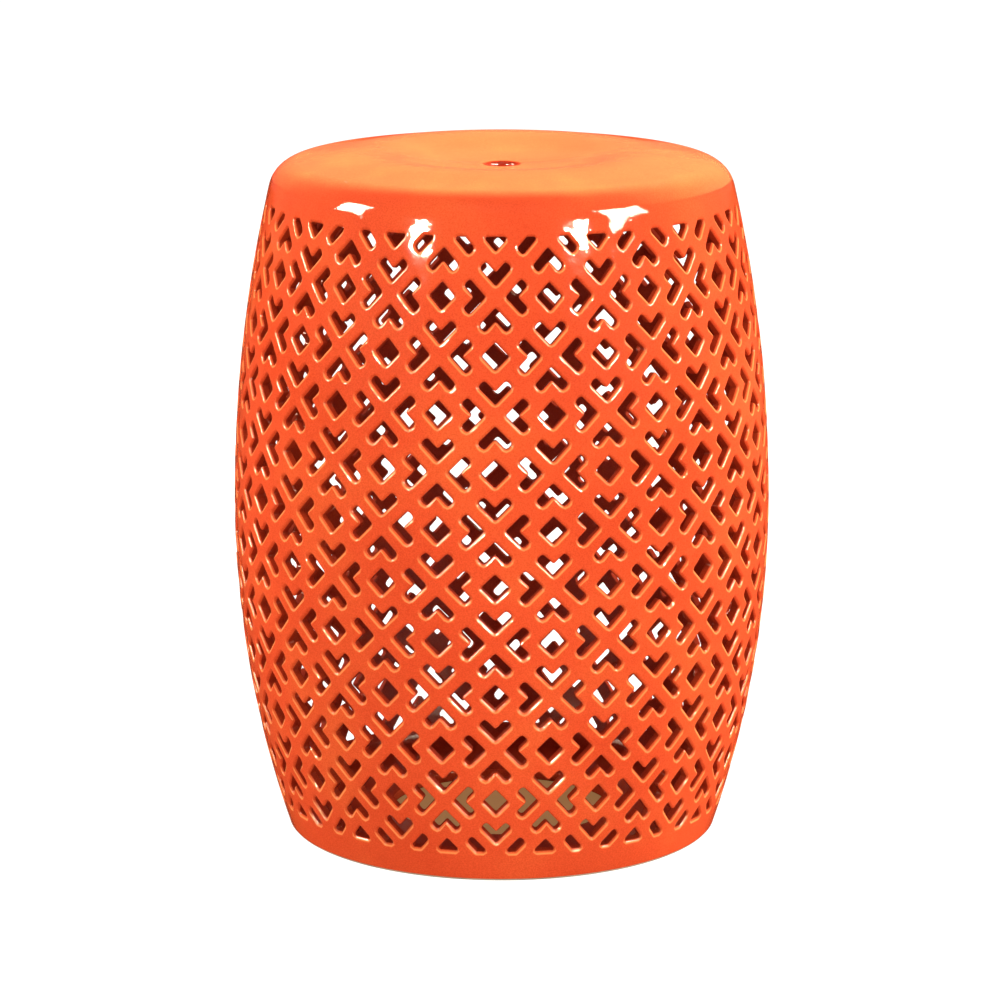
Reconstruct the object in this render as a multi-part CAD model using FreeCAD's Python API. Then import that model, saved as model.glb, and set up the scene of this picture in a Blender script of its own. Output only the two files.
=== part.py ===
import FreeCAD, Part
import math
import os

# Ceramic garden stool, millimetres, Z up
# The origin is the middle of the flat foot, on the floor

# Overall shape of the barrel
overall_height = 457.0
belly_radius = 179.0
belly_z = 217.0
foot_inset = 34.7
neck_inset = 24.4
neck_drop = 27.0
wall_thickness = 6.5

# Seat
seat_thickness = 12.0
seat_joint_drop = 17.0
rim_width = 64.6
crest_round = 120.0
dish_depth = 9.0
rim_slope_deg = 8.8
shoulder_round = 22.0
seat_bearing_width = 42.6
finger_hole_radius = 11.2
finger_hole_top_round = 3.0
finger_hole_under_round = 1.5

# Base
base_joint_z = 10.0
base_ring_width = 69.3
base_opening_round = 2.0
foot_contact_width = 12.0
foot_recess = 2.0
foot_edge_round = 1.5

# Luting coils
coil_leg = 8.0
coil_hollow = 1.3

# Lattice of pierced cells
columns = 15
full_rows = 10
top_band = 14.9
bottom_band = 11.1
diamond_share = 0.245
frame_share = 0.595
outline_share = 0.82
arm_end_share = 0.21
arm_end_bevel = 0.065
cutter_margin = 6.0

# Values that follow from the sizes above
foot_radius = belly_radius - foot_inset
neck_radius = belly_radius - neck_inset
crest_radius = neck_radius - rim_width
seat_flat_inner_radius = neck_radius - seat_bearing_width
base_opening_radius = foot_radius - base_ring_width
neck_z = overall_height - neck_drop
seat_joint_z = overall_height - seat_joint_drop
top_cut_z = seat_joint_z - top_band
bottom_cut_z = base_joint_z + bottom_band
row_spacing = (top_cut_z - bottom_cut_z) / (full_rows + 1)
half_pitch = math.pi / columns
sector_angle = 2.0 * half_pitch
axis_base = FreeCAD.Vector(0, 0, 0)
axis_up = FreeCAD.Vector(0, 0, 1)


def arc_through_drop(run, drop):
    """Radius of an arc that falls by drop over run from its widest point."""
    return (run * run + drop * drop) / (2.0 * drop)


lower_arc = arc_through_drop(belly_z, belly_radius - foot_radius)
upper_arc = arc_through_drop(neck_z - belly_z, belly_radius - neck_radius)


def swept_radius(z, inset):
    """Radius at height z of the barrel's arc, or of an arc set inside it by inset."""
    arc = lower_arc if z < belly_z else upper_arc
    return belly_radius - arc + math.sqrt((arc - inset) ** 2 - (z - belly_z) ** 2)


# Ring levels: the skins of the barrel run straight from one ring to the next
row_levels = [top_cut_z - row * row_spacing for row in range(full_rows + 2)]
ring_levels = [0.0, base_joint_z] + sorted(row_levels) + [seat_joint_z]


def barrel_radius(z, inset=0.0):
    """Radius of the barrel at height z, or of its inner skin set in by inset."""
    for low, high in zip(ring_levels, ring_levels[1:]):
        if low <= z <= high:
            share = (z - low) / (high - low)
            return (1.0 - share) * swept_radius(low, inset) + share * swept_radius(high, inset)
    raise ValueError("no ring band at height %.3f" % z)


def barrel_tilt(z):
    """Angle of the outward direction above the horizontal at height z."""
    arc = lower_arc if z < belly_z else upper_arc
    return math.asin((z - belly_z) / arc)


# Seat profile, worked out as tangent arcs
slope = math.radians(rim_slope_deg)
slope_start_r = crest_radius + crest_round * math.sin(slope)
slope_start_z = overall_height - crest_round * (1.0 - math.cos(slope))
dish_level = overall_height - dish_depth
dish_gap = crest_round - dish_depth
dish_arc = (crest_radius ** 2 + dish_gap ** 2 - crest_round ** 2) / (2.0 * dish_depth)
crest_centre_z = overall_height - crest_round
dish_centre_z = dish_level + dish_arc
dish_end_sin = crest_radius / (dish_arc + crest_round)
dish_end_r = dish_arc * dish_end_sin


def dish_z(r):
    """Height of the dished middle of the seat at radius r."""
    return dish_centre_z - math.sqrt(dish_arc ** 2 - r ** 2)


def crest_z(r):
    """Height of the crest of the seat at radius r."""
    return crest_centre_z + math.sqrt(crest_round ** 2 - (r - crest_radius) ** 2)


# Centre of the shoulder arc, tangent to the seat slope and to the barrel
barrel_centre_r = belly_radius - upper_arc
offset_r = slope_start_r - shoulder_round * math.sin(slope)
offset_z = slope_start_z - shoulder_round * math.cos(slope)
reach_r = offset_r - barrel_centre_r
reach_z = offset_z - belly_z
half_b = reach_r * math.cos(slope) - reach_z * math.sin(slope)
rest_c = reach_r ** 2 + reach_z ** 2 - (upper_arc - shoulder_round) ** 2
travel = -half_b + math.sqrt(half_b ** 2 - rest_c)
shoulder_centre_r = offset_r + travel * math.cos(slope)
shoulder_centre_z = offset_z - travel * math.sin(slope)
shoulder_top_r = shoulder_centre_r + shoulder_round * math.sin(slope)
shoulder_top_z = shoulder_centre_z + shoulder_round * math.cos(slope)
shoulder_run = upper_arc / (upper_arc - shoulder_round)
shoulder_start_z = belly_z + (shoulder_centre_z - belly_z) * shoulder_run


def shoulder_radius(z):
    """Radius of the rounded shoulder at height z."""
    return shoulder_centre_r + math.sqrt(shoulder_round ** 2 - (z - shoulder_centre_z) ** 2)


# Underside of the seat, a shallow arc that meets the flat bearing face
under_level = dish_level - seat_thickness
under_arc = arc_through_drop(seat_flat_inner_radius, seat_joint_z - under_level)


def under_z(r):
    """Height of the underside of the seat at radius r."""
    return under_level + under_arc - math.sqrt(under_arc ** 2 - r ** 2)


def at(r, z):
    """Point of a profile in the XZ plane."""
    return FreeCAD.Vector(r, 0, z)


def line(a, b):
    """Straight edge between two profile points."""
    return Part.LineSegment(at(*a), at(*b)).toShape()


def arc(a, middle, b):
    """Arc edge through three profile points."""
    return Part.Arc(at(*a), at(*middle), at(*b)).toShape()


def skin(inset, low, high):
    """Straight edges of the outer skin, or of the inner one, from low to high."""
    levels = [low] + [z for z in ring_levels if low < z < high] + [high]
    edges = []
    for a, b in zip(levels, levels[1:]):
        edges.append(line((barrel_radius(a, inset), a), (barrel_radius(b, inset), b)))
    return edges


def cap(height_at, start, end):
    """Arc edge of a surface whose height at radius r is height_at(r)."""
    middle = 0.5 * (start + end)
    ends = (start, height_at(start)), (middle, height_at(middle)), (end, height_at(end))
    return arc(*ends)


def profile_face(edges):
    """Closed face from profile edges given in any order."""
    return Part.Face(Part.Wire(Part.sortEdges(edges)[0]))


def turned(edges, angle_deg=360.0):
    """Solid of revolution of a closed profile about the Z axis."""
    return profile_face(edges).revolve(axis_base, axis_up, angle_deg)


def ring_edge(shape, radius, z):
    """The circular edge of a turned shape at a radius and height."""
    for edge in shape.Edges:
        if not isinstance(edge.Curve, Part.Circle):
            continue
        centre = edge.Curve.Center
        if abs(edge.Curve.Radius - radius) < 0.01 and abs(centre.z - z) < 0.01:
            return edge
    raise ValueError("no ring edge at %.2f, %.2f" % (radius, z))


def inner_barrel(z):
    """Inner radius of the wall at height z."""
    return barrel_radius(z, wall_thickness)


def seat_top():
    """Dished seat slab with a rounded shoulder and a finger hole."""
    hole_top = dish_z(finger_hole_radius)
    hole_under = under_z(finger_hole_radius)
    joint_r = shoulder_radius(seat_joint_z)
    middle_z = 0.5 * (seat_joint_z + shoulder_top_z)
    edges = [
        cap(dish_z, finger_hole_radius, dish_end_r),
        cap(crest_z, dish_end_r, slope_start_r),
        line((slope_start_r, slope_start_z), (shoulder_top_r, shoulder_top_z)),
        arc(
            (shoulder_top_r, shoulder_top_z),
            (shoulder_radius(middle_z), middle_z),
            (joint_r, seat_joint_z),
        ),
        line((joint_r, seat_joint_z), (seat_flat_inner_radius, seat_joint_z)),
        cap(under_z, finger_hole_radius, seat_flat_inner_radius),
        line((finger_hole_radius, hole_under), (finger_hole_radius, hole_top)),
    ]
    slab = turned(edges)
    top_edge = ring_edge(slab, finger_hole_radius, hole_top)
    slab = slab.makeFillet(finger_hole_top_round, [top_edge])
    under_edge = ring_edge(slab, finger_hole_radius, hole_under)
    return slab.makeFillet(finger_hole_under_round, [under_edge])


def base_ring():
    """Flat foot ring with a raised contact rim and a large opening."""
    contact_r = foot_radius - foot_contact_width
    recess_r = contact_r - foot_recess
    edges = [
        line((foot_radius, 0.0), (barrel_radius(base_joint_z), base_joint_z)),
        line((barrel_radius(base_joint_z), base_joint_z), (base_opening_radius, base_joint_z)),
        line((base_opening_radius, base_joint_z), (base_opening_radius, foot_recess)),
        line((base_opening_radius, foot_recess), (recess_r, foot_recess)),
        line((recess_r, foot_recess), (contact_r, 0.0)),
        line((contact_r, 0.0), (foot_radius, 0.0)),
    ]
    ring = turned(edges)
    ring = ring.makeFillet(foot_edge_round, [ring_edge(ring, foot_radius, 0.0)])
    upper = ring_edge(ring, base_opening_radius, base_joint_z)
    lower = ring_edge(ring, base_opening_radius, foot_recess)
    return ring.makeFillet(base_opening_round, [upper, lower])


def luting_coil(flat_z, reach):
    """Coil worked into the corner between the wall and a flat at flat_z."""
    tip_z = flat_z + reach
    corner_r = inner_barrel(flat_z)
    tip_r = inner_barrel(tip_z)
    leg_r = corner_r - coil_leg
    middle_r = 0.5 * (leg_r + tip_r) + coil_hollow
    middle_z = 0.5 * (flat_z + tip_z) - math.copysign(coil_hollow, reach)
    edges = [
        line((tip_r, tip_z), (corner_r, flat_z)),
        line((corner_r, flat_z), (leg_r, flat_z)),
        arc((leg_r, flat_z), (middle_r, middle_z), (tip_r, tip_z)),
    ]
    return turned(edges)


# Openings of one cell, in shares of the cell
# p runs along the lattice up and to the right, q down and to the right


def diamond():
    """Small diamond in the middle of a cell."""
    d = diamond_share
    return [(d, -d), (d, d), (-d, d), (-d, -d)]


def angle_opening(sp, sq):
    """Angle-shaped opening in the corner of a cell that lies toward sp, sq."""
    f = frame_share
    o = outline_share
    e = arm_end_share
    b = arm_end_bevel
    arm = [(o, e + b), (o - b, e), (f + b, e), (f, e + b)]
    other_arm = [(q, p) for p, q in reversed(arm)]
    corners = [(o, o)] + arm + [(f, f)] + other_arm
    return [(sp * p, sq * q) for p, q in corners]


def half_of(opening, keep):
    """Part of an opening above the cell's middle (keep 1) or below it (keep -1)."""
    kept = []
    for here, there in zip(opening, opening[1:] + opening[:1]):
        level = keep * (here[0] - here[1])
        next_level = keep * (there[0] - there[1])
        if level > -1e-9:
            kept.append(here)
        if level * next_level < -1e-12:
            share = level / (level - next_level)
            kept.append(tuple(a + (b - a) * share for a, b in zip(here, there)))
    return kept


def cell_openings(keep):
    """All openings of a cell by position; keep 1 or -1 leaves one half, 0 all."""
    openings = {
        "middle": diamond(),
        "up": angle_opening(1, -1),
        "down": angle_opening(-1, 1),
        "left": angle_opening(-1, -1),
        "right": angle_opening(1, 1),
    }
    if keep == 0:
        return openings
    halves = {name: half_of(opening, keep) for name, opening in openings.items()}
    return {name: half for name, half in halves.items() if len(half) > 2}


def on_barrel(column, row_z, p, q):
    """Azimuth and height of a cell point; column 0 faces -Y."""
    azimuth = (column + 0.5 * (p + q)) * half_pitch
    height = row_z + 0.5 * (p - q) * row_spacing
    return azimuth, height


def barrel_point(azimuth, z):
    """Point of the outer skin."""
    r = barrel_radius(z)
    return FreeCAD.Vector(r * math.sin(azimuth), -r * math.cos(azimuth), z)


def barrel_normal(azimuth, z):
    """Outward direction of the outer skin."""
    tilt = barrel_tilt(z)
    level = math.cos(tilt)
    return FreeCAD.Vector(level * math.sin(azimuth), -level * math.cos(azimuth), math.sin(tilt))


def opening_cutter(column, row_z, opening):
    """Prism that pierces the wall square to its skin."""
    spots = [on_barrel(column, row_z, p, q) for p, q in opening]
    azimuths = [a for a, z in spots]
    heights = [z for a, z in spots]
    centre_azimuth = 0.5 * (min(azimuths) + max(azimuths))
    centre_z = 0.5 * (min(heights) + max(heights))
    centre = barrel_point(centre_azimuth, centre_z)
    out = barrel_normal(centre_azimuth, centre_z)
    flat = []
    for azimuth, z in spots:
        spot = barrel_point(azimuth, z)
        drop = (spot - centre).dot(out)
        flat.append(spot + out * (cutter_margin - drop))
    face = Part.Face(Part.makePolygon(flat + flat[:1]))
    return face.extrude(out * -(wall_thickness + 2.0 * cutter_margin))


def sector_cutters():
    """Cutters of every opening that touches the front sector."""
    cutters = []
    for row in range(0, full_rows + 2):
        row_z = top_cut_z - row * row_spacing
        keep = 0
        if row == 0:
            keep = -1
        if row == full_rows + 1:
            keep = 1
        openings = cell_openings(keep)
        cells = [0] if row % 2 == 0 else [-1, 1]
        for column in cells:
            for name, opening in openings.items():
                if column == -1 and name == "left":
                    continue
                if column == 1 and name == "right":
                    continue
                cutters.append(opening_cutter(column, row_z, opening))
    return cutters


def wall_profile():
    """Closed profile of the wall before it is pierced."""
    foot = (barrel_radius(base_joint_z), base_joint_z)
    inner_foot = (inner_barrel(base_joint_z), base_joint_z)
    start = (barrel_radius(shoulder_start_z), shoulder_start_z)
    end = (shoulder_radius(seat_joint_z), seat_joint_z)
    inner_end = (inner_barrel(seat_joint_z), seat_joint_z)
    middle_z = 0.5 * (shoulder_start_z + seat_joint_z)
    edges = skin(0.0, base_joint_z, shoulder_start_z)
    edges += skin(wall_thickness, base_joint_z, seat_joint_z)
    edges.append(arc(start, (shoulder_radius(middle_z), middle_z), end))
    edges.append(line(end, inner_end))
    edges.append(line(inner_foot, foot))
    return edges


def pierced_wall():
    """Barrel wall pierced all round: one sector is cut and laid round the axis."""
    start = -90.0 - math.degrees(half_pitch)
    sector = turned(wall_profile(), math.degrees(sector_angle))
    sector.rotate(axis_base, axis_up, start)
    sector = sector.cut(sector_cutters())
    skins = []
    for face in sector.Faces:
        middle = face.CenterOfMass
        azimuth = math.atan2(middle.x, -middle.y)
        off_side = math.hypot(middle.x, middle.y) * math.sin(half_pitch - abs(azimuth))
        if isinstance(face.Surface, Part.Plane) and abs(off_side) < 1e-4:
            continue
        skins.append(face)
    pieces = []
    for step in range(columns):
        for face in skins:
            piece = face.copy()
            piece.rotate(axis_base, axis_up, math.degrees(step * sector_angle))
            pieces.append(piece)
    skin = Part.makeCompound(pieces)
    skin.sewShape(1e-4)
    wall = Part.makeSolid(skin.Shells[0])
    if wall.Volume < 0:
        wall.reverse()
    return wall


parts = {
    "seat_top": seat_top,
    "upper_luting_coil": lambda: luting_coil(seat_joint_z, -coil_leg),
    "pierced_wall": pierced_wall,
    "lower_luting_coil": lambda: luting_coil(base_joint_z, coil_leg),
    "base_ring": base_ring,
}

os.makedirs("parts", exist_ok=True)
for name, build in parts.items():
    solid = build()
    if solid.ShapeType == "Compound" and len(solid.Solids) == 1:
        solid = solid.Solids[0]
    low = solid.BoundBox.ZMin
    high = solid.BoundBox.ZMax
    print(name, solid.ShapeType, solid.isValid(), len(solid.Solids), len(solid.Faces))
    print("  volume %.0f, z %.2f to %.2f" % (solid.Volume, low, high))
    solid.exportStep("parts/" + name + ".step")
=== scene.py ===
import math

import bmesh
import bpy
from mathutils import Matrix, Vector, noise
from mathutils.geometry import delaunay_2d_cdt


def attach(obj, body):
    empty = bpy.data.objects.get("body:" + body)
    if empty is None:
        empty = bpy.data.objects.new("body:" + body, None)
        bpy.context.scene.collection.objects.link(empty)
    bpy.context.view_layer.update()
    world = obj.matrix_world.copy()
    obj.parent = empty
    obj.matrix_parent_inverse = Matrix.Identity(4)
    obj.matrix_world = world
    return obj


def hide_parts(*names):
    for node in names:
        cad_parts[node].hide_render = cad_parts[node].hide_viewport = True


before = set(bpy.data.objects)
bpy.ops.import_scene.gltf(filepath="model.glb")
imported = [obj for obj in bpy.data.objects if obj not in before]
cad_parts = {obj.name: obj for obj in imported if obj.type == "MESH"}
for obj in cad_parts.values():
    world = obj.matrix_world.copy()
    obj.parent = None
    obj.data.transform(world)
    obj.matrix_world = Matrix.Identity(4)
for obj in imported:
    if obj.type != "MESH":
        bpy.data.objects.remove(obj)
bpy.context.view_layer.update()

# Sizes in metres, the same as those of the clay pieces
MM = 0.001
overall_height = 457.0 * MM
belly_radius = 179.0 * MM
belly_z = 217.0 * MM
foot_radius = 144.3 * MM
neck_radius = 154.6 * MM
neck_z = 430.0 * MM
wall_thickness = 6.5 * MM
seat_thickness = 12.0 * MM
crest_radius = 90.0 * MM
crest_round = 120.0 * MM
dish_depth = 9.0 * MM
rim_slope = math.radians(8.8)
shoulder_round = 22.0 * MM
seat_joint_z = 440.0 * MM
seat_flat_inner = 112.0 * MM
finger_hole_radius = 11.2 * MM
finger_hole_top_round = 3.0 * MM
finger_hole_under_round = 1.5 * MM
base_joint_z = 10.0 * MM
base_opening_radius = 75.0 * MM
base_opening_round = 2.0 * MM
foot_contact_width = 12.0 * MM
foot_recess = 2.0 * MM
foot_edge_round = 1.5 * MM
coil_leg = 8.0 * MM
columns = 15
full_rows = 10
top_cut_z = 425.1 * MM
bottom_cut_z = 21.1 * MM
diamond_share = 0.245
frame_share = 0.595
outline_share = 0.82
arm_end_share = 0.21
diamond_corner = 1.1 * MM
outline_corner = 1.3 * MM
arm_end_corner = 1.9 * MM
inner_corner = 1.6 * MM
cut_corner = 1.2 * MM
glaze_round = 2.4 * MM
inner_glaze_round = 1.0 * MM
coil_sag = 1.3 * MM
thumb_depth = 0.9 * MM
thumb_fade = 2.5 * MM
hand_wobble = 0.7 * MM

# Where the darker inner glaze (painted shade) begins round the finger hole, where the bare foot begins, and
# how far from a cut line the hand wobble starts and is full
shaded_glaze_radius = finger_hole_radius + 1.6 * MM
unglazed_height = foot_recess + 0.05 * MM
wobble_start = -6.0 * MM
wobble_full = 10.0 * MM

# How finely the pieces are made: where faces are split, steps round a piece, and what counts as one point
column_steps = 8
coil_steps = 240
corner_steps = 2
seat_flat_middle = 140.0 * MM
base_top_middle = base_opening_radius + 20.0 * MM
base_ring_heights = tuple(z * MM for z in (3.0, 5.0, 7.0, 9.0, 9.6))
cut_line_clearance = 2.5 * MM
weld_distance = 0.02 * MM
same_spot = 1e-7

# Rim of an opening: distance from the opening, depth below the skin, slope in degrees, and share of lighter
# rim glaze, partly glaze thinning on the edge and partly a painted glint where the rim faces up
rim_steps = (
    (1.5 * MM, 0.15 * MM, 22.0, 1.0),
    (0.6 * MM, 0.6 * MM, 48.0, 0.2),
    (0.0, 1.5 * MM, 90.0, 0.0),
)

row_spacing = (top_cut_z - bottom_cut_z) / (full_rows + 1)
half_pitch = math.pi / columns
half_width = belly_radius * half_pitch
ring_steps = columns * column_steps


def arc_through_drop(run, drop):
    """Radius of an arc that falls by drop over run from its widest point."""
    return (run * run + drop * drop) / (2.0 * drop)


lower_arc = arc_through_drop(belly_z, belly_radius - foot_radius)
upper_arc = arc_through_drop(neck_z - belly_z, belly_radius - neck_radius)


def barrel_radius(z, inset=0.0):
    """Radius of the barrel, or of a skin set inside it, at height z."""
    arc = lower_arc if z < belly_z else upper_arc
    return belly_radius - arc + math.sqrt((arc - inset) ** 2 - (z - belly_z) ** 2)


def barrel_lean(z):
    """Sine of the outward direction's rise at height z."""
    return (z - belly_z) / (lower_arc if z < belly_z else upper_arc)


# Seat profile as tangent arcs
slope_start_r = crest_radius + crest_round * math.sin(rim_slope)
slope_start_z = overall_height - crest_round * (1.0 - math.cos(rim_slope))
dish_level = overall_height - dish_depth
dish_gap = crest_round - dish_depth
dish_arc = (crest_radius**2 + dish_gap**2 - crest_round**2) / (2.0 * dish_depth)
dish_end_r = dish_arc * crest_radius / (dish_arc + crest_round)
offset_r = slope_start_r - shoulder_round * math.sin(rim_slope)
offset_z = slope_start_z - shoulder_round * math.cos(rim_slope)
reach_r = offset_r - (belly_radius - upper_arc)
reach_z = offset_z - belly_z
half_b = reach_r * math.cos(rim_slope) - reach_z * math.sin(rim_slope)
rest_c = reach_r**2 + reach_z**2 - (upper_arc - shoulder_round) ** 2
travel = -half_b + math.sqrt(half_b**2 - rest_c)
shoulder_r = offset_r + travel * math.cos(rim_slope)
shoulder_z = offset_z - travel * math.sin(rim_slope)
shoulder_start_z = belly_z + (shoulder_z - belly_z) * upper_arc / (upper_arc - shoulder_round)
under_level = dish_level - seat_thickness
under_arc = arc_through_drop(seat_flat_inner, seat_joint_z - under_level)


def seat_height(r):
    """Height of the seat's upper face at radius r, inside the shoulder."""
    if r < dish_end_r:
        return dish_level + dish_arc - math.sqrt(dish_arc**2 - r**2)
    if r < slope_start_r:
        return overall_height - crest_round + math.sqrt(crest_round**2 - (r - crest_radius) ** 2)
    return slope_start_z - (r - slope_start_r) * math.tan(rim_slope)


def under_height(r):
    """Height of the seat's underside at radius r."""
    return under_level + under_arc - math.sqrt(under_arc**2 - r**2)


def spread(low, high, count):
    """count + 1 even steps from low to high."""
    return [low + (high - low) * i / count for i in range(count + 1)]


# Node tools


class Tree:
    """Small helper that adds nodes to a tree and links their inputs."""

    def __init__(self, tree):
        self.tree = tree

    def add(self, kind, inputs=None, **settings):
        """New node with its settings, and its inputs linked or set."""
        node = self.tree.nodes.new(kind)
        for key, value in settings.items():
            setattr(node, key, value)
        for key, value in (inputs or {}).items():
            self.feed(node.inputs[key], value)
        return node

    def feed(self, socket, value):
        """Links a socket, or sets the input's own value."""
        if isinstance(value, bpy.types.NodeSocket):
            self.tree.links.new(value, socket)
        elif value is not None:
            socket.default_value = value

    def math(self, operation, a, b=None, c=None):
        """Result of a sum on up to three numbers."""
        node = self.tree.nodes.new("ShaderNodeMath")
        node.operation = operation
        for i, value in enumerate((a, b, c)):
            if value is not None:
                self.feed(node.inputs[i], value)
        return node.outputs[0]


def lay_out(tree):
    """Places the nodes in columns so that the tree can be read."""
    for i, node in enumerate(tree.nodes):
        node.location = (220 * (i // 6), -180 * (i % 6))


# Materials


def colour_ramp(t, factor, stops):
    """Colour ramp through (place, colour) stops."""
    node = t.add("ShaderNodeValToRGB", {"Fac": factor})
    ramp = node.color_ramp
    while len(ramp.elements) < len(stops):
        ramp.elements.new(0.5)
    for element, (place, colour) in zip(ramp.elements, stops):
        element.position = place
        element.color = (*colour, 1.0)
    return node.outputs["Color"]


def mixed(t, factor, a, b, blend="MIX"):
    """Colour b laid on colour a by a share."""
    node = t.add("ShaderNodeMix", {"Factor": factor}, data_type="RGBA", blend_type=blend)
    t.feed(node.inputs["A"], a)
    t.feed(node.inputs["B"], b)
    return node.outputs["Result"]


def surface_tree(name):
    """New material without a shader, and its tree."""
    material = bpy.data.materials.new(name)
    material.use_nodes = True
    material.node_tree.nodes.clear()
    return material, Tree(material.node_tree)


def finish_surface(material, t, shader):
    """Ends a material in its shader."""
    out = t.add("ShaderNodeOutputMaterial")
    t.feed(out.inputs["Surface"], shader.outputs["BSDF"])
    lay_out(material.node_tree)
    return material


def glaze_material(name, thinned_edge_and_glint, thin, full, pooled, roughness):
    """Glossy glaze with pools, faint specks, a fine grain and a soft ripple, lighter on the rims of openings:
    partly glaze thinning on the edge, partly a painted glint where a rim faces up.
    """
    material, t = surface_tree(name)
    white = (1.0, 1.0, 1.0)
    place = t.add("ShaderNodeTexCoord").outputs["Object"]
    drift = t.add("ShaderNodeTexNoise", {"Vector": place, "Scale": 14.0, "Detail": 3.0, "Roughness": 0.55})
    tone = colour_ramp(t, drift.outputs["Fac"], [(0.30, pooled), (0.52, full), (0.75, thin)])
    speck = t.add("ShaderNodeTexVoronoi", {"Vector": place, "Scale": 420.0, "Randomness": 1.0})
    dot = colour_ramp(t, speck.outputs["Distance"], [(0.0, (0.72, 0.72, 0.72)), (0.16, white)])
    specked = mixed(t, 0.35, tone, dot, "MULTIPLY")
    grain = t.add("ShaderNodeTexNoise", {"Vector": place, "Scale": 1100.0, "Detail": 2.0, "Roughness": 0.6})
    dust = colour_ramp(t, grain.outputs["Fac"], [(0.38, (0.84, 0.72, 0.70)), (0.62, white)])
    grained = mixed(t, 0.9, specked, dust, "MULTIPLY")
    # Rims that face up are painted lighter: a painted glint, partly also glaze thinning on the edge.
    edge = t.add("ShaderNodeAttribute", attribute_name="edge_thinning_and_glint", attribute_type="GEOMETRY")
    thinning_and_glint = t.math("MULTIPLY", edge.outputs["Fac"], 0.7)
    thinned_and_glinting_tone = mixed(t, thinning_and_glint, grained, (*thinned_edge_and_glint, 1.0))
    ripple = t.add("ShaderNodeTexNoise", {"Vector": place, "Scale": 38.0, "Detail": 2.0})
    peel = t.add("ShaderNodeTexNoise", {"Vector": place, "Scale": 520.0, "Detail": 1.0})
    soft = t.add("ShaderNodeBump", {"Height": ripple.outputs["Fac"], "Strength": 0.35, "Distance": 0.0016})
    fine = t.add("ShaderNodeBump", {"Height": peel.outputs["Fac"], "Strength": 0.25, "Distance": 0.0001})
    t.feed(fine.inputs["Normal"], soft.outputs["Normal"])
    sheen = t.add("ShaderNodeMapRange", {"Value": drift.outputs["Fac"]})
    t.feed(sheen.inputs["To Min"], roughness - 0.02)
    t.feed(sheen.inputs["To Max"], roughness + 0.02)
    shader = t.add("ShaderNodeBsdfPrincipled", {"IOR": 1.42})
    t.feed(shader.inputs["Base Color"], thinned_and_glinting_tone)
    t.feed(shader.inputs["Roughness"], sheen.outputs["Result"])
    t.feed(shader.inputs["Normal"], fine.outputs["Normal"])
    return finish_surface(material, t, shader)


def bare_clay_material():
    """Unglazed buff stoneware of the foot, sandy and slightly stained."""
    material, t = surface_tree("bare_clay")
    place = t.add("ShaderNodeTexCoord").outputs["Object"]
    cloud = t.add("ShaderNodeTexNoise", {"Vector": place, "Scale": 22.0, "Detail": 5.0})
    tone = colour_ramp(t, cloud.outputs["Fac"], [(0.3, (0.30, 0.19, 0.11)), (0.7, (0.47, 0.34, 0.22))])
    grit = t.add("ShaderNodeTexNoise", {"Vector": place, "Scale": 900.0, "Detail": 2.0})
    grain = t.add("ShaderNodeBump", {"Height": grit.outputs["Fac"], "Strength": 0.6, "Distance": 0.0003})
    rough = t.add("ShaderNodeMapRange", {"Value": grit.outputs["Fac"], "To Min": 0.75, "To Max": 0.95})
    shader = t.add("ShaderNodeBsdfPrincipled")
    t.feed(shader.inputs["Base Color"], tone)
    t.feed(shader.inputs["Normal"], grain.outputs["Normal"])
    t.feed(shader.inputs["Roughness"], rough.outputs["Result"])
    return finish_surface(material, t, shader)


# The lighter rim colour given first is partly glaze thinning on the edge and partly a painted glint.
outer_glaze = glaze_material(
    "red_orange_glaze",
    thinned_edge_and_glint=(1.0, 0.34, 0.09),
    thin=(0.77, 0.107, 0.027),
    full=(0.74, 0.082, 0.023),
    pooled=(0.70, 0.0715, 0.020),
    roughness=0.045,
)
# Darker, rougher copy of the glaze: painted shade for the inside of the stool, the walls of the openings, the
# finger hole and the undersides.
inner_glaze = glaze_material(
    "inner_glaze",
    thinned_edge_and_glint=(0.46, 0.055, 0.014),
    thin=(0.46, 0.055, 0.014),
    full=(0.40, 0.036, 0.010),
    pooled=(0.32, 0.028, 0.008),
    roughness=0.18,
)
bare_clay = bare_clay_material()


# Turned pieces


def new_object(name, mesh):
    """Object at the origin that holds a mesh."""
    piece = bpy.data.objects.new(name, mesh)
    bpy.context.scene.collection.objects.link(piece)
    return piece


def turned_piece(name, profile, steps, wobble=None):
    """Closed ring turned about the Z axis from a closed (r, z) profile, outside seen anticlockwise."""
    mesh = bpy.data.meshes.new(name)
    points = []
    for r, z in profile:
        for i in range(steps):
            angle = 2.0 * math.pi * i / steps
            point = Vector((r * math.sin(angle), -r * math.cos(angle), z))
            points.append(point + wobble(point) if wobble else point)
    count = len(profile)
    faces = []
    for j in range(count):
        k = (j + 1) % count
        for i in range(steps):
            n = (i + 1) % steps
            faces.append((j * steps + i, j * steps + n, k * steps + n, k * steps + i))
    mesh.from_pydata(points, [], faces)
    mesh.polygons.foreach_set("use_smooth", [True] * len(mesh.polygons))
    mesh.set_sharp_from_angle(angle=math.radians(50.0))
    return new_object(name, mesh)


def arc_points(centre, radius, start, end, count):
    """Points on an arc in the (r, z) plane, angles in degrees from outward, up positive."""
    points = []
    for angle in spread(math.radians(start), math.radians(end), count):
        points.append((centre[0] + radius * math.cos(angle), centre[1] + radius * math.sin(angle)))
    return points


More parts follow.
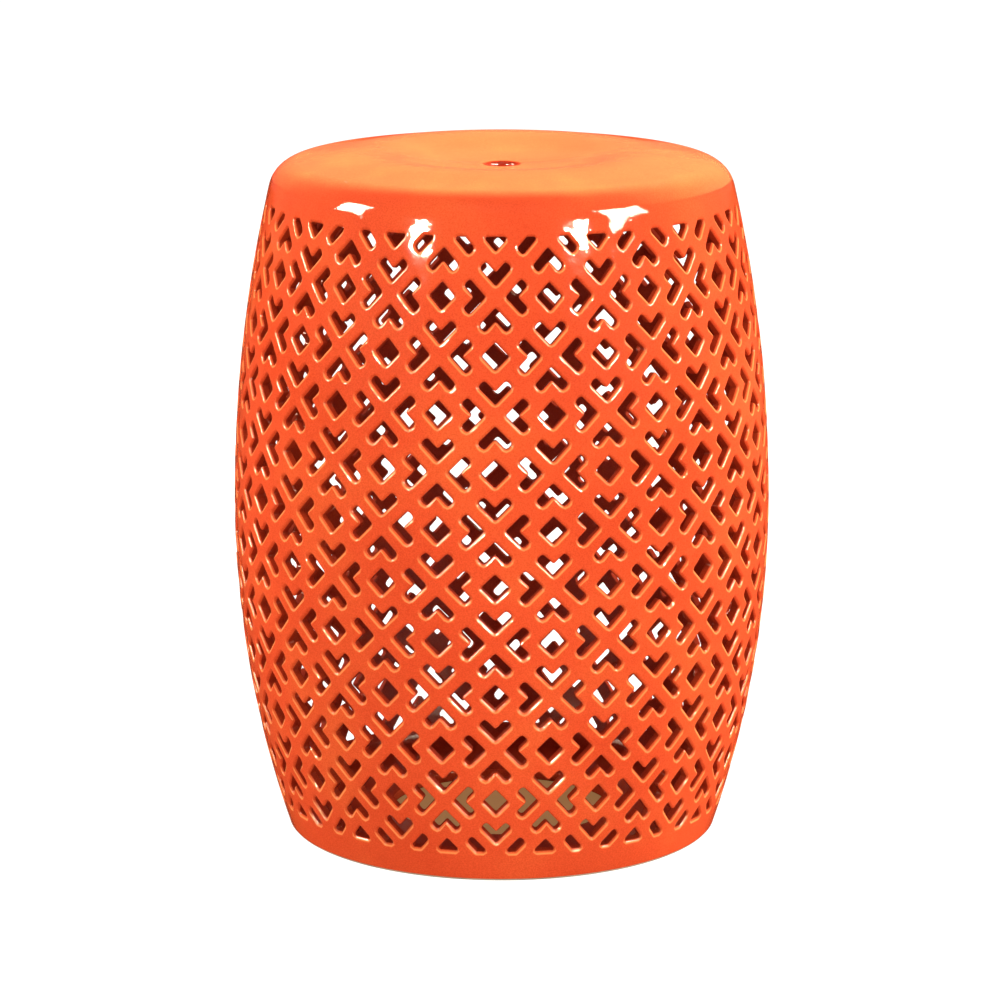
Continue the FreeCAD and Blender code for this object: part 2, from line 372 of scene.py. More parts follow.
def seat_profile():
    """Profile of the seat: shoulder, slope, crest, dish, finger hole, underside."""
    start = math.degrees(math.asin((seat_joint_z - shoulder_z) / shoulder_round))
    end = 90.0 - math.degrees(rim_slope)
    points = arc_points((shoulder_r, shoulder_z), shoulder_round, start, start + 2.0, 2)
    points += arc_points((shoulder_r, shoulder_z), shoulder_round, start + 2.0, end, 16)[1:]
    shoulder_top = points[-1][0]
    hole_top = finger_hole_radius + finger_hole_top_round
    for r in spread(shoulder_top, slope_start_r, 4)[1:]:
        points.append((r, seat_height(r)))
    for r in spread(slope_start_r, dish_end_r, 14)[1:]:
        points.append((r, seat_height(r)))
    for r in spread(dish_end_r, hole_top, 16)[1:]:
        points.append((r, seat_height(r)))
    top = (hole_top, seat_height(hole_top) - finger_hole_top_round)
    points += arc_points(top, finger_hole_top_round, 90.0, 180.0, 6)[1:]
    hole_under = finger_hole_radius + finger_hole_under_round
    under = (hole_under, under_height(hole_under) + finger_hole_under_round)
    points += arc_points(under, finger_hole_under_round, 180.0, 270.0, 4)
    for r in spread(hole_under, seat_flat_inner, 8)[1:]:
        points.append((r, under_height(r)))
    points.append((seat_flat_middle, seat_joint_z))
    return points


def base_profile():
    """Profile of the base ring: outside, bearing face, opening, recess, foot."""
    contact = foot_radius - foot_contact_width
    recess = contact - foot_recess
    rise = foot_edge_round
    points = []
    for z in (rise, *base_ring_heights, base_joint_z):
        points.append((barrel_radius(z), z))
    points.append((barrel_radius(base_joint_z, wall_thickness), base_joint_z))
    r = base_opening_round
    points.append((base_top_middle, base_joint_z))
    points += arc_points((base_opening_radius + r, base_joint_z - r), r, 90.0, 180.0, 4)
    points += arc_points((base_opening_radius + r, foot_recess + r), r, 180.0, 270.0, 4)
    points.append((recess, foot_recess))
    points.append((contact, 0.0))
    foot = foot_radius - rise
    points += arc_points((foot, rise), rise, 270.0, 345.0, 4)
    return points


def coil_profile(flat_z, reach):
    """Profile of a luting coil in the corner of the wall and a flat."""
    tip_z = flat_z + reach
    corner = (barrel_radius(flat_z, wall_thickness), flat_z)
    leg = (corner[0] - coil_leg, flat_z)
    tip = (barrel_radius(tip_z, wall_thickness), tip_z)
    middle_r = (leg[0] + tip[0]) / 2 + coil_sag
    middle_z = (leg[1] + tip[1]) / 2 - math.copysign(coil_sag, reach)
    points = [corner]
    for s in spread(0.0, 1.0, 6):
        a, b, c = (1 - s) * (1 - 2 * s), 4 * s * (1 - s), s * (2 * s - 1)
        points.append((a * leg[0] + b * middle_r + c * tip[0], a * leg[1] + b * middle_z + c * tip[1]))
    return points if reach < 0 else points[::-1]


def thumbed(flat_z, reach):
    """Shift of a coil's open face, as if pressed down by a thumb."""
    corner_r = barrel_radius(flat_z, wall_thickness)

    def shift(point):
        """Shift of one point, none on the faces that touch the clay."""
        r = math.hypot(point.x, point.y)
        depth = min(corner_r - r, abs(flat_z + reach - point.z), abs(point.z - flat_z))
        share = max(0.0, min(1.0, depth / thumb_fade))
        push = noise.noise(point * 55.0) * thumb_depth * share
        return Vector((point.x / r, point.y / r, 0.0)) * push

    return shift


# The pierced wall: one cell, laid out flat and then wrapped round the barrel


def flat_point(p, q):
    """Place of a cell point on the flat tile, in metres."""
    return Vector((0.5 * (p + q) * half_width, 0.5 * (p - q) * row_spacing))


def rounded_outline(corners):
    """Points along an opening with rounded corners, each with its way outwards and the room for a rim."""
    spots = [flat_point(p, q) for p, q, r in corners]
    area = 0.0
    for i, a in enumerate(spots):
        b = spots[(i + 1) % len(spots)]
        area += a.x * b.y - b.x * a.y
    rounds = [r for p, q, r in corners]
    if area < 0.0:
        spots.reverse()
        rounds.reverse()
    outline = []
    for i, corner in enumerate(spots):
        before = (corner - spots[i - 1]).normalized()
        after = (spots[(i + 1) % len(spots)] - corner).normalized()
        turn = math.atan2(before.x * after.y - before.y * after.x, before.dot(after))
        back = rounds[i] * math.tan(abs(turn) / 2)
        side = math.copysign(1.0, turn)
        out = Vector((before.y, -before.x))
        centre = corner - before * back - out * rounds[i] * side
        for s in range(corner_steps + 1):
            angle = turn * s / corner_steps
            across, along = math.cos(angle), math.sin(angle)
            way = Vector((out.x * across - out.y * along, out.x * along + out.y * across))
            room = 1.0 if side > 0.0 else 0.9 * rounds[i]
            outline.append((centre + way * rounds[i] * side, way, room))
    return outline


def offset(outline, distance):
    """Points of an opening's outline moved outwards, as far as there is room."""
    return [spot + way * min(distance, room) for spot, way, room in outline]


def whole_openings():
    """Openings of a whole cell, the diamond and the four arrows, as corners (p, q, rounding)."""
    d, f, o, e = diamond_share, frame_share, outline_share, arm_end_share
    openings = [[(p, q, diamond_corner) for p, q in ((d, -d), (d, d), (-d, d), (-d, -d))]]
    shape = [(o, o, outline_corner), (o, e, arm_end_corner), (f, e, arm_end_corner)]
    shape += [(f, f, inner_corner), (e, f, arm_end_corner), (e, o, arm_end_corner)]
    for sp, sq in ((1, -1), (-1, 1), (-1, -1), (1, 1)):
        openings.append([(sp * p, sq * q, r) for p, q, r in shape])
    return openings


def half_openings(keep):
    """Openings of a border cell: the part above (1) or below (-1) the cell's middle."""
    d, f, o, e = diamond_share, frame_share, outline_share, arm_end_share
    whole = whole_openings()
    cut = cut_corner
    if keep < 0:
        return [
            [(-d, -d, cut), (-d, d, diamond_corner), (d, d, cut)],
            whole[2],
            [(-o, -o, cut), (-o, -e, arm_end_corner), (-f, -e, arm_end_corner), (-f, -f, cut)],
            [(f, f, cut), (e, f, arm_end_corner), (e, o, arm_end_corner), (o, o, cut)],
        ]
    return [
        [(-d, -d, cut), (d, d, cut), (d, -d, diamond_corner)],
        whole[1],
        [(-o, -o, cut), (-f, -f, cut), (-e, -f, arm_end_corner), (-e, -o, arm_end_corner)],
        [(f, f, cut), (o, o, cut), (o, e, arm_end_corner), (f, e, arm_end_corner)],
    ]


def inside(point, loop):
    """Whether a flat point lies inside a closed loop of points."""
    hit = False
    for i, a in enumerate(loop):
        b = loop[i - 1]
        if (a.y > point.y) != (b.y > point.y):
            if point.x < (b.x - a.x) * (point.y - a.y) / (b.y - a.y) + a.x:
                hit = not hit
    return hit


def border_loop(kind, extra):
    """Corners of a tile, anticlockwise, and the steps of each side, none where the rows give them.
    extra is how far a border tile reaches past its cut line."""
    w, h = half_width, row_spacing
    right, top, left, bottom = Vector((w, 0)), Vector((0, h)), Vector((-w, 0)), Vector((0, -h))
    if kind == "cell":
        corners = [right, top, left, bottom]
        counts = [4, 4, 4, 4]
    elif kind == "top":
        corners = [right, Vector((w, extra)), Vector((-w, extra)), left, bottom]
        counts = [0, 8, 0, 4, 4]
    else:
        corners = [right, top, left, Vector((-w, -extra)), Vector((w, -extra))]
        counts = [4, 4, 0, 8, 0]
    return corners, counts


class Tile:
    """One flat tile of the wall: both skins and the rounded walls of its openings.
    x and y lie on the tile, z is minus the depth below the outer skin."""

    def __init__(self, kind, openings, outer_reach=0.0, inner_reach=0.0, outer_rows=(), inner_rows=()):
        """Makes both skins, then the walls of the openings, and a border tile's joint face."""
        self.kind = kind
        self.sign = -1.0 if kind == "foot" else 1.0
        self.vertices = []
        self.faces = []
        self.inner_faces = []
        self.thinned_edge_and_glint = []
        self.facing = []
        outlines = [rounded_outline(opening) for opening in openings]
        outer_border = self.border(outer_reach, outer_rows)
        inner_border = self.border(inner_reach, inner_rows)
        outer_holes = [offset(outline, glaze_round) for outline in outlines]
        inner_holes = [offset(outline, inner_glaze_round) for outline in outlines]
        outer = self.skin(outer_border, outer_holes, outer_rows, 0.0, False)
        inner = self.skin(inner_border, inner_holes, inner_rows, wall_thickness, True)
        outer_start = len(outer_border)
        inner_start = len(inner_border)
        for outline in outlines:
            outer_end = outer_start + len(outline)
            inner_end = inner_start + len(outline)
            self.opening_wall(outline, outer[outer_start:outer_end], inner[inner_start:inner_end])
            outer_start = outer_end
            inner_start = inner_end
        if kind != "cell":
            outer_edge = self.joint_edge(outer_border, outer, outer_reach)
            inner_edge = self.joint_edge(inner_border, inner, inner_reach)
            self.joint_face(outer_edge, inner_edge)

    def put(self, points, depth, directions, thinned_edge_and_glint=None):
        """Adds points at one depth and gives their numbers."""
        first = len(self.vertices)
        self.vertices.extend((p.x, p.y, -depth) for p in points)
        self.thinned_edge_and_glint.extend(thinned_edge_and_glint or [0.0] * len(points))
        self.facing.extend(directions)
        return list(range(first, len(self.vertices)))

    def put_face(self, face, inner):
        """Adds a face and whether it takes the darker inner glaze, which paints shade on the inside and in
        the openings.
        """
        self.faces.append(face)
        self.inner_faces.append(int(inner))

    def border(self, reach, rows):
        """Points round the tile, anticlockwise."""
        corners, counts = border_loop(self.kind, reach)
        loop = []
        for i, corner in enumerate(corners):
            following = corners[(i + 1) % len(corners)]
            if counts[i]:
                loop += [corner.lerp(following, s / counts[i]) for s in range(counts[i])]
            else:
                levels = [0.0, *rows, reach]
                if abs(following.y) < abs(corner.y):
                    levels.reverse()
                loop += [Vector((corner.x, self.sign * y)) for y in levels[:-1]]
        return loop

    def free_points(self, rows):
        """Points of a skin away from its edges."""
        spots = [(0.42, 0), (0, 0.42), (0.42, 0.42), (0.42, -0.42), (0.7, 0), (0, 0.7)]
        spots += [(-p, -q) for p, q in spots]
        points = [flat_point(p, q) for p, q in spots]
        if self.kind != "cell":
            points = [p for p in points if self.sign * p.y < -cut_line_clearance]
        for y in rows:
            points += [Vector((half_width * (i / 4.0 - 1.0), self.sign * y)) for i in range(1, 8)]
        return points

    def skin(self, border, holes, rows, depth, inner):
        """Triangles between the border and the openings; gives the numbers of the edge points."""
        points = []
        edges = []
        for loop in [border] + holes:
            first = len(points)
            points += loop
            edges += [(first + i, first + (i + 1) % len(loop)) for i in range(len(loop))]
        edge_count = len(points)
        points += self.free_points(rows)
        found, _, triangles, came_from, _, _ = delaunay_2d_cdt(points, edges, [], 0, same_spot)
        outward = (0.0, 0.0, -1.0 if inner else 1.0)
        index = self.put(points, depth, [outward] * len(points))
        for triangle in triangles:
            a, b, c = (found[i] for i in triangle)
            middle = (a + b + c) / 3.0
            turn = (b - a).cross(c - a)
            in_clay = inside(middle, border) and not any(inside(middle, hole) for hole in holes)
            if in_clay and abs(turn) >= 1e-9:
                face = [index[came_from[i][0]] for i in triangle]
                self.put_face(face[::-1] if (turn < 0) != inner else face, inner)
        return index[:edge_count]

    def opening_wall(self, outline, outer_edge, inner_edge):
        """Rounded rim and straight wall of an opening. A lighter glaze is painted where the rim faces up, a
        painted glint that also stands for glaze thinning on the edge; the wall below the rim takes the darker
        inner glaze, which is painted shade.
        """
        rings = [outer_edge]
        for reach, sink, slope, thinning_and_glint in rim_steps:
            inward, outward = math.sin(math.radians(slope)), math.cos(math.radians(slope))
            directions = [(-way.x * inward, -way.y * inward, outward) for _, way, _ in outline]
            # Painted glint: only rims that face up, at the lower edges of the openings, get the lighter
            # glaze.
            thinned_edge_and_glint = [thinning_and_glint * max(0.0, min(1.0, 0.25 - way.y * 1.3)) for _, way, _ in outline]
            rings.append(self.put(offset(outline, reach), sink, directions, thinned_edge_and_glint))
        directions = [(-way.x, -way.y, 0.0) for _, way, _ in outline]
        rings.append(self.put(offset(outline, 0.0), wall_thickness - inner_glaze_round, directions))
        rings.append(inner_edge)
        count = len(outline)
        for step, (upper, lower) in enumerate(zip(rings, rings[1:])):
            for i in range(count):
                n = (i + 1) % count
                self.put_face([upper[i], upper[n], lower[n], lower[i]], step >= len(rim_steps))

    def joint_edge(self, border, numbers, reach):
        """Numbers of a skin's points on the joint, from left to right."""
        edge = [i for i, spot in enumerate(border) if abs(self.sign * spot.y - reach) < same_spot]
        edge.sort(key=lambda i: border[i].x)
        return [numbers[i] for i in edge]

    def joint_face(self, outer_edge, inner_edge):
        """Flat face where the wall meets the seat or the base."""
        for a, b, c, d in zip(outer_edge, outer_edge[1:], inner_edge[1:], inner_edge):
            self.put_face([a, b, c, d] if self.kind == "top" else [d, c, b, a], False)

    def mesh(self, name):
        """The tile's mesh, with the lighter rim glaze (glaze thinning and a painted glint), the inner faces,
        which take the darker inner glaze as painted shade, and the directions as attributes.
        """
        mesh = bpy.data.meshes.new(name)
        mesh.from_pydata(self.vertices, [], self.faces)
        thinned_edge_and_glint = mesh.attributes.new("edge_thinning_and_glint", "FLOAT", "POINT")
        thinned_edge_and_glint.data.foreach_set("value", self.thinned_edge_and_glint)
        within = mesh.attributes.new("within", "INT", "FACE")
        within.data.foreach_set("value", self.inner_faces)
        facing = mesh.attributes.new("facing", "FLOAT_VECTOR", "POINT")
        facing.data.foreach_set("vector", [part for direction in self.facing for part in direction])
        return mesh


def tree_inputs(tree):
    """Named inputs of the lattice tree, with the sizes of this wall."""
    tree.interface.new_socket("Geometry", in_out="INPUT", socket_type="NodeSocketGeometry")
    for label, kind, value in (
        ("Columns", "NodeSocketInt", columns),
        ("Rows", "NodeSocketInt", full_rows),
        ("First row", "NodeSocketInt", 1),
        ("Top cut height", "NodeSocketFloat", top_cut_z),
        ("Foot cut height", "NodeSocketFloat", bottom_cut_z),
        ("Seat joint height", "NodeSocketFloat", seat_joint_z),
        ("Row spacing", "NodeSocketFloat", row_spacing),
        ("Tile half width", "NodeSocketFloat", half_width),
        ("Half pitch", "NodeSocketFloat", half_pitch),
        ("Belly radius", "NodeSocketFloat", belly_radius),
        ("Belly height", "NodeSocketFloat", belly_z),
        ("Lower arc", "NodeSocketFloat", lower_arc),
        ("Upper arc", "NodeSocketFloat", upper_arc),
        ("Wall thickness", "NodeSocketFloat", wall_thickness),
        ("Shoulder round", "NodeSocketFloat", shoulder_round),
        ("Shoulder radius", "NodeSocketFloat", shoulder_r),
        ("Shoulder height", "NodeSocketFloat", shoulder_z),
        ("Shoulder start", "NodeSocketFloat", shoulder_start_z),
        ("Hand wobble", "NodeSocketFloat", hand_wobble),
        ("Wobble start", "NodeSocketFloat", wobble_start),
        ("Wobble full", "NodeSocketFloat", wobble_full),
        ("Wobble seed", "NodeSocketFloat", 3.0),
        ("Weld distance", "NodeSocketFloat", weld_distance),
        ("Glaze", "NodeSocketMaterial", outer_glaze),
    ):
        socket = tree.interface.new_socket(label, in_out="INPUT", socket_type=kind)
        socket.default_value = value
    tree.interface.new_socket("Geometry", in_out="OUTPUT", socket_type="NodeSocketGeometry")


def flat_sheet(t, size):
    """Copies of the tile in rows, each odd row half a tile to the side."""
    number = t.math("MULTIPLY", size["Columns"], size["Rows"])
    points = t.add("GeometryNodePoints", {"Count": number})
    index = t.add("GeometryNodeInputIndex").outputs[0]
    row = t.math("ADD", t.math("FLOOR", t.math("DIVIDE", index, size["Columns"])), size["First row"])
    column = t.math("MODULO", index, size["Columns"])
    odd = t.math("MODULO", row, 2.0)
    across = t.math("MULTIPLY", t.math("MULTIPLY_ADD", column, 2.0, odd), size["Tile half width"])
    down = t.math("MULTIPLY", t.math("MULTIPLY", row, size["Row spacing"]), -1.0)
    spot = t.add("ShaderNodeCombineXYZ", {"X": across, "Y": down})
    laid = t.add("GeometryNodeSetPosition", {"Geometry": points.outputs[0], "Position": spot.outputs[0]})
    copies = t.add("GeometryNodeInstanceOnPoints", {"Points": laid.outputs[0], "Instance": size["Geometry"]})
    return t.add("GeometryNodeRealizeInstances", {"Geometry": copies.outputs[0]}).outputs[0]


def place_on_barrel(t, size):
    """Place on the barrel and its shoulder of each point of the flat sheet."""
    flat = t.add("ShaderNodeSeparateXYZ", {"Vector": t.add("GeometryNodeInputPosition").outputs[0]}).outputs
    azimuth = t.math("MULTIPLY", t.math("DIVIDE", flat[0], size["Tile half width"]), size["Half pitch"])
    height = t.math("ADD", flat[1], size["Top cut height"])
    depth = t.math("MULTIPLY", flat[2], -1.0)
    level = t.math("SUBTRACT", height, size["Belly height"])
    low = t.math("LESS_THAN", level, 0.0)
    arc_gap = t.math("SUBTRACT", size["Lower arc"], size["Upper arc"])
    arc = t.math("MULTIPLY_ADD", low, arc_gap, size["Upper arc"])
    lean = t.math("DIVIDE", level, arc)
    level_share = t.math("SQRT", t.math("SUBTRACT", 1.0, t.math("MULTIPLY", lean, lean)))
    reach = t.math("MULTIPLY", arc, level_share)
    radius = t.math("ADD", t.math("SUBTRACT", size["Belly radius"], arc), reach)
    above = t.math("SUBTRACT", t.math("MINIMUM", height, size["Seat joint height"]), size["Shoulder height"])
    round_squared = t.math("POWER", size["Shoulder round"], 2.0)
    run_squared = t.math("SUBTRACT", round_squared, t.math("MULTIPLY", above, above))
    round_radius = t.math("ADD", size["Shoulder radius"], t.math("SQRT", t.math("MAXIMUM", run_squared, 0.0)))
    on_shoulder = t.math("GREATER_THAN", height, size["Shoulder start"])
    fall = t.math("MULTIPLY", t.math("SUBTRACT", radius, round_radius), on_shoulder)
    surface_share = t.math("SUBTRACT", 1.0, t.math("DIVIDE", depth, size["Wall thickness"]))
    fall = t.math("MULTIPLY", fall, surface_share)
    radius = t.math("SUBTRACT", t.math("SUBTRACT", radius, t.math("MULTIPLY", depth, level_share)), fall)
    rise = t.math("SUBTRACT", height, t.math("MULTIPLY", depth, lean))
    x = t.math("MULTIPLY", radius, t.math("SINE", azimuth))
    y = t.math("MULTIPLY", radius, t.math("MULTIPLY", t.math("COSINE", azimuth), -1.0))
    return t.add("ShaderNodeCombineXYZ", {"X": x, "Y": y, "Z": rise}).outputs[0]


def hand_shift(t, size):
    """Small shift of each point, as if cut by hand, that fades out at the two borders."""
    here = t.add("GeometryNodeInputPosition").outputs[0]
    drift = t.add("ShaderNodeTexNoise", {"Vector": here, "Scale": 42.0, "Detail": 1.0}, noise_dimensions="4D")
    t.feed(drift.inputs["W"], size["Wobble seed"])
    middle = (0.5, 0.5, 0.5)
    centred = t.add("ShaderNodeVectorMath", {0: drift.outputs["Color"], 1: middle}, operation="SUBTRACT")
    height = t.add("ShaderNodeSeparateXYZ", {"Vector": here}).outputs[2]
    from_top = t.math("SUBTRACT", size["Top cut height"], height)
    from_foot = t.math("SUBTRACT", height, size["Foot cut height"])
    free = t.add("ShaderNodeMapRange", {"Value": t.math("MINIMUM", from_top, from_foot)})
    t.feed(free.inputs["From Min"], size["Wobble start"])
    t.feed(free.inputs["From Max"], size["Wobble full"])
    shift = t.add("ShaderNodeVectorMath", {0: centred.outputs[0]}, operation="SCALE")
    t.feed(shift.inputs["Scale"], t.math("MULTIPLY", free.outputs["Result"], size["Hand wobble"]))
    return shift.outputs[0]


def wrap_tree():
    """Geometry tree that repeats a flat tile, wraps it round the barrel and welds the tiles."""
    tree = bpy.data.node_groups.new("wrapped_lattice", "GeometryNodeTree")
    tree_inputs(tree)
    t = Tree(tree)
    size = t.add("NodeGroupInput").outputs
    sheet = flat_sheet(t, size)
    bent = t.add("GeometryNodeSetPosition", {"Geometry": sheet, "Position": place_on_barrel(t, size)})
    worked = t.add("GeometryNodeSetPosition", {"Geometry": bent.outputs[0], "Offset": hand_shift(t, size)})
    joined = t.add("GeometryNodeMergeByDistance", {"Geometry": worked.outputs[0]})
    t.feed(joined.inputs["Distance"], size["Weld distance"])
    smooth = t.add("GeometryNodeSetShadeSmooth", {"Geometry": joined.outputs[0]})
    plain = t.add("GeometryNodeRealizeInstances", {"Geometry": smooth.outputs[0]})
    glazed = t.add("GeometryNodeSetMaterial", {"Geometry": plain.outputs[0], "Material": size["Glaze"]})
    t.feed(t.add("NodeGroupOutput").inputs[0], glazed.outputs[0])
    lay_out(tree)
    return tree


def wrapped(mesh, tree, first_row, rows):
    """The plain mesh that the tree makes of a tile, for some of the wall's rows."""
    tile = new_object(mesh.name, mesh)
    modifier = tile.modifiers.new("wrap", "NODES")
    modifier.node_group = tree
    sockets = {item.name: item.identifier for item in tree.interface.items_tree if item.in_out == "INPUT"}
    modifier[sockets["First row"]] = first_row
    modifier[sockets["Rows"]] = rows
    tile.update_tag()
    graph = bpy.context.evaluated_depsgraph_get()
    graph.update()
    result = bpy.data.meshes.new_from_object(tile.evaluated_get(graph))
    bpy.data.objects.remove(tile)
    return result


def shade_by_form(mesh):
    """Sets the wall's normals from the barrel, the shoulder and the roundings of the openings."""
    of_vertex = []
    for vertex, direction in zip(mesh.vertices, mesh.attributes["facing"].data):
        x, y, z = vertex.co
        across, along, out = direction.vector
        lean = barrel_lean(z)
        if out > 0.0 and z > shoulder_start_z:
            lean = (z - shoulder_z) / shoulder_round
        level = math.sqrt(1.0 - lean * lean)
        r = math.hypot(x, y)
        sine, cosine = x / r, -y / r
        sideways = Vector((cosine, sine, 0.0))
        upward = Vector((-lean * sine, lean * cosine, level))
        outward = Vector((level * sine, -level * cosine, lean))
        of_vertex.append((sideways * across + upward * along + outward * out).normalized())
    normals = [None] * len(mesh.loops)
    for polygon in mesh.polygons:
        z = polygon.center.z
        near_joint = min(abs(z - seat_joint_z), abs(z - base_joint_z)) < 1.0 * MM
        on_joint = near_joint and abs(polygon.normal.z) > 0.9
        for loop, vertex in zip(polygon.loop_indices, polygon.vertices):
            normals[loop] = polygon.normal.copy() if on_joint else of_vertex[vertex]
    mesh.normals_split_custom_set(normals)
    mesh.attributes.remove(mesh.attributes["facing"])


def pierced_wall_piece():
    """The whole pierced wall as one closed mesh."""
    top_reach = seat_joint_z - top_cut_z
    foot_reach = bottom_cut_z - base_joint_z
    inner_top_reach = top_reach + wall_thickness * barrel_lean(seat_joint_z)
    inner_foot_reach = foot_reach - wall_thickness * barrel_lean(base_joint_z)
    top_rows = [y * MM for y in (4.0, 6.9, 8.5, 10.0, 11.5, 13.0, 14.4)]
    foot_rows = [y * MM for y in (4.0, 7.5, 10.7)]
    cell = Tile("cell", whole_openings())
    top = Tile("top", half_openings(-1), top_reach, inner_top_reach, top_rows, top_rows[1:6:2])
    foot = Tile("foot", half_openings(1), foot_reach, inner_foot_reach, foot_rows, foot_rows[:1])
    tree = wrap_tree()
    clay = bmesh.new()
    clay.from_mesh(wrapped(cell.mesh("cell_tile"), tree, 1, full_rows))
    clay.from_mesh(wrapped(top.mesh("top_tile"), tree, 0, 1))
    clay.from_mesh(wrapped(foot.mesh("foot_tile"), tree, full_rows + 1, 1))
    bmesh.ops.remove_doubles(clay, verts=clay.verts, dist=weld_distance)
    mesh = bpy.data.meshes.new("pierced_wall_glazed")
    clay.to_mesh(mesh)
    clay.free()
    mesh.materials.clear()
    mesh.materials.append(outer_glaze)
    # Second slot: the darker inner glaze, painted shade on the inner skin and the walls of the openings.
    mesh.materials.append(inner_glaze)
    for polygon, flag in zip(mesh.polygons, mesh.attributes["within"].data):
        polygon.material_index = flag.value
    mesh.attributes.remove(mesh.attributes["within"])
    mesh.polygons.foreach_set("use_smooth", [True] * len(mesh.polygons))
    shade_by_form(mesh)
    return new_object("pierced_wall_glazed", mesh)


# The five clay pieces


def give_materials(piece, *materials):
    """Lists the materials that a piece uses."""
    for material in materials:
        piece.data.materials.append(material)


def seat_piece():
    """Glazed seat, with painted shade in its finger hole and below, where the faces take the darker inner
    glaze.
    """
    piece = turned_piece("seat_top_glazed", seat_profile(), ring_steps)
    give_materials(piece, outer_glaze, inner_glaze)
    for polygon in piece.data.polygons:
        in_hole = polygon.center.xy.length < shaded_glaze_radius
        if in_hole or polygon.normal.z < -0.5:
            polygon.material_index = 1
    return piece


def base_piece():
    """Base ring, with painted shade on its top inside the stool, where it takes the darker inner glaze, and
    bare below.
    """
    piece = turned_piece("base_ring_glazed", base_profile(), ring_steps)
    give_materials(piece, outer_glaze, bare_clay, inner_glaze)
    for polygon in piece.data.polygons:
        if polygon.center.z < unglazed_height and polygon.normal.z < -0.3:
            polygon.material_index = 1
        elif polygon.normal.z > 0.5:
            polygon.material_index = 2
    return piece


def coil_piece(name, flat_z, reach):
    """Luting coil, pressed into the corner by hand."""
    piece = turned_piece(name, coil_profile(flat_z, reach), coil_steps, thumbed(flat_z, reach))
    # The coil sits inside the stool and takes the darker inner glaze: painted shade.
    give_materials(piece, inner_glaze)
    return piece


wall = pierced_wall_piece()
seat = seat_piece()
base = base_piece()
upper_coil = coil_piece("upper_luting_coil_worked", seat_joint_z, -coil_leg)
lower_coil = coil_piece("lower_luting_coil_worked", base_joint_z, coil_leg)

for piece, node, finish in (
    (wall, "pierced_wall", "red_orange_glaze"),
    (seat, "seat_top", "red_orange_glaze"),
    (base, "base_ring", "red_orange_glaze"),
    (upper_coil, "upper_luting_coil", "inner_glaze"),
    (lower_coil, "lower_luting_coil", "inner_glaze"),
):
    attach(piece, "root")
    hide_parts(node)


# Studio


def direction(azimuth, elevation):
    """Unit vector towards a direction; azimuth 0 is the front, positive to the right."""
    a, e = math.radians(azimuth), math.radians(elevation)
    return Vector((math.sin(a) * math.cos(e), -math.cos(a) * math.cos(e), math.sin(e)))


def studio_floor():
    """Plain pale floor, browner in the shade inside the stool."""
    mesh = bpy.data.meshes.new("studio_floor")
    radius = 14.0
    steps = 64
    rim = [direction(360.0 * i / steps, 0.0) * radius for i in range(steps)]
    mesh.from_pydata(rim, [], [list(range(steps))])
    floor = new_object("studio_floor", mesh)
    material = bpy.data.materials.new("studio_floor_paint")
    material.use_nodes = True
    t = Tree(material.node_tree)
    shader = material.node_tree.nodes["Principled BSDF"]
    rays = t.add("ShaderNodeLightPath").outputs
    place = t.add("ShaderNodeTexCoord").outputs["Object"]
    reach = t.add("ShaderNodeVectorMath", {0: place}, operation="LENGTH").outputs["Value"]
    shade_edge = t.add("ShaderNodeMapRange", {"Value": reach, "From Min": 0.09, "From Max": 0.125})
    open_floor = shade_edge.outputs["Result"]
    bounce = t.math("MULTIPLY", t.math("MULTIPLY", open_floor, 0.72), rays["Is Diffuse Ray"])
    t.feed(shader.inputs["Emission Strength"], t.math("MULTIPLY_ADD", rays["Is Camera Ray"], 0.97, bounce))
    glow = mixed(t, open_floor, (0.27, 0.125, 0.047, 1.0), (1.03, 1.015, 0.985, 1.0))
    t.feed(shader.inputs["Emission Color"], glow)
    tint = mixed(t, open_floor, (0.10, 0.06, 0.03, 1.0), (0.18, 0.178, 0.17, 1.0))
    mirrored = mixed(t, rays["Is Glossy Ray"], tint, (0.025, 0.018, 0.010, 1.0))
    t.feed(shader.inputs["Base Color"], mirrored)
    shader.inputs["Roughness"].default_value = 0.9
    shader.inputs["Specular IOR Level"].default_value = 0.0
    mesh.materials.append(material)


def area_light(name, place, width, height, power, colour=(1.0, 1.0, 1.0)):
    """Soft light that faces the seat."""
    light = bpy.data.lights.new(name, "AREA")
    light.shape = "RECTANGLE"
    light.size = width
    light.size_y = height
    light.energy = power
    light.color = colour
    lamp = bpy.data.objects.new(name, light)
    bpy.context.scene.collection.objects.link(lamp)
    lamp.location = lit_spot + place
    lamp.rotation_euler = (-place).to_track_quat("-Z", "Y").to_euler()
    return lamp


def window_lights():
    """Warm windows and softboxes that show as highlights on the glaze."""
    for name, azimuth, elevation, width, height, power in (
        ("left_window", -78.0, 22.5, 0.72, 0.94, 115.0),
        ("right_window", 65.0, 23.5, 0.92, 0.94, 140.0),
        ("left_softbox", -37.0, 13.6, 0.34, 0.08, 105.0),
        ("right_softbox", 37.0, 13.6, 0.34, 0.08, 105.0),
    ):
        place = direction(azimuth, elevation) * window_distance
        area_light(name, place, width, height, power, (1.0, 0.90, 0.68)).visible_diffuse = False


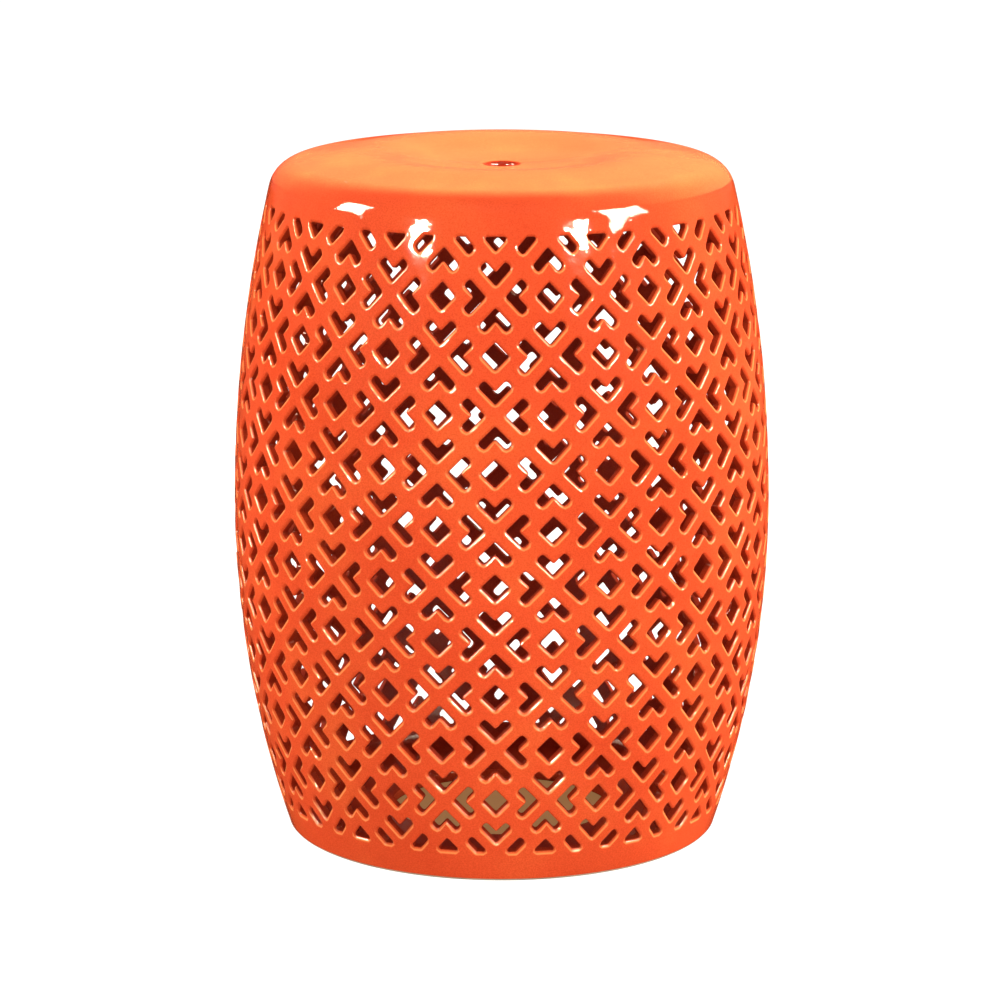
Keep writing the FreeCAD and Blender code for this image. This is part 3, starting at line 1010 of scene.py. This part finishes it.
def panel_lights():
    """Wide panels that light the clay from all sides and don't show in the glaze."""
    for name, azimuth, elevation, power in (
        ("front_light", 0.0, 58.0, 80.0),
        ("left_light", -50.0, 4.0, 31.0),
        ("right_light", 50.0, 4.0, 54.0),
        ("left_edge_light", -122.0, 12.0, 140.0),
        ("right_edge_light", 122.0, 12.0, 240.0),
    ):
        place = direction(azimuth, elevation) * panel_distance
        area_light(name, place, 2.2, 0.9, power).visible_glossy = False


def back_light():
    """Strong light from behind that only reaches the seat."""
    lamp = area_light("back_light", direction(176.0, 36.0) * back_distance, 3.2, 0.8, 1800.0)
    lamp.visible_glossy = False
    seat_only = bpy.data.collections.new("seat_only")
    seat_only.objects.link(seat)
    lamp.light_linking.receiver_collection = seat_only


def studio_world():
    """White backdrop, dimmer as light and dimmest in reflections."""
    world = bpy.data.worlds.new("studio")
    bpy.context.scene.world = world
    world.use_nodes = True
    world.node_tree.nodes.clear()
    t = Tree(world.node_tree)
    rays = t.add("ShaderNodeLightPath").outputs
    ambient = t.math("MULTIPLY_ADD", rays["Is Glossy Ray"], -0.18, 0.26)
    strength = t.math("MAXIMUM", ambient, rays["Is Camera Ray"])
    backdrop = t.add("ShaderNodeBackground", {"Color": (1.0, 1.0, 1.0, 1.0), "Strength": strength})
    out = t.add("ShaderNodeOutputWorld")
    t.feed(out.inputs["Surface"], backdrop.outputs["Background"])
    lay_out(world.node_tree)


def photo_camera():
    """Camera at the photograph's viewing angle, a little above the seat."""
    camera = bpy.data.cameras.new("photo_camera")
    camera.lens = 145.43
    camera.sensor_width = 36.0
    camera.sensor_fit = "HORIZONTAL"
    camera.shift_x = -0.00177
    eye = bpy.data.objects.new("photo_camera", camera)
    bpy.context.scene.collection.objects.link(eye)
    side, front = camera_reach * math.sin(camera_turn), camera_reach * math.cos(camera_turn)
    eye.location = (side, -front, camera_height)
    eye.rotation_euler = (math.radians(90.0) - camera_dip, 0.0, camera_turn)
    bpy.context.scene.camera = eye
    bpy.context.scene.view_settings.view_transform = "Standard"


lit_spot = Vector((0.0, 0.0, 0.43))
window_distance = 2.4
panel_distance = 3.2
back_distance = 3.9
camera_reach = 2.6424
camera_height = 0.8395
camera_turn = 0.0241
camera_dip = 0.23018
studio_floor()
window_lights()
back_light()
panel_lights()
studio_world()
photo_camera()
